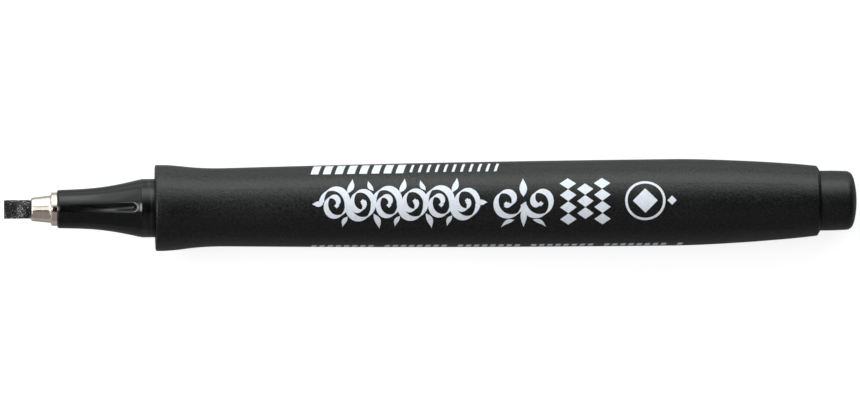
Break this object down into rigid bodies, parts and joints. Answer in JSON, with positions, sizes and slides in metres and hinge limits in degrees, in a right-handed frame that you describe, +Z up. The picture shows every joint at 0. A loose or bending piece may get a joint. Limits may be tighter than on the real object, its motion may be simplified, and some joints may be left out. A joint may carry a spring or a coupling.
{
  "type": "calligraphy marker",
  "caption": "Uncapped calligraphy marker: broad chisel fibre nib in a metal ferrule, flared glossy front section, waisted matt black barrel and stepped tail plug.",
  "frame": {"origin": "on the pen's axis, half way along its length", "axes": "X along the pen's axis, nib towards -X and tail towards +X; Y across the pen; +Z up, the way one flat of the nib looks"},
  "size_m": [0.1376, 0.014, 0.014],
  "materials": {
    "nib_fibre": "ink-soaked bonded polyester fibre, matt with speckled glints",
    "ferrule_metal": "turned and nickel plated, bright",
    "section_plastic": "glossy black moulding",
    "barrel_plastic": "fine-grained matt black moulding with white printed ornament",
    "plug_plastic": "fine-grained matt black moulding",
    "reservoir_fibre": "ink-soaked fibre bundle",
    "film_plastic": "thin clear film"
  },
  "bodies": {
    "barrel_unit": {"barrel": "barrel_plastic", "reservoir_core": "reservoir_fibre", "reservoir_film": "film_plastic"},
    "front_unit": {"front_section": "section_plastic", "ferrule": "ferrule_metal", "nib": "nib_fibre"},
    "tail_unit": {"tail_plug": "plug_plastic"}
  },
  "joints": [
    {"name": "section_pull", "type": "slide", "parent": "barrel_unit", "child": "front_unit", "axis": [-1, 0, 0], "range_m": [0, 0.0145]},
    {"name": "plug_pull", "type": "slide", "parent": "barrel_unit", "child": "tail_unit", "axis": [1, 0, 0], "range_m": [0, 0.0127]}
  ]
}
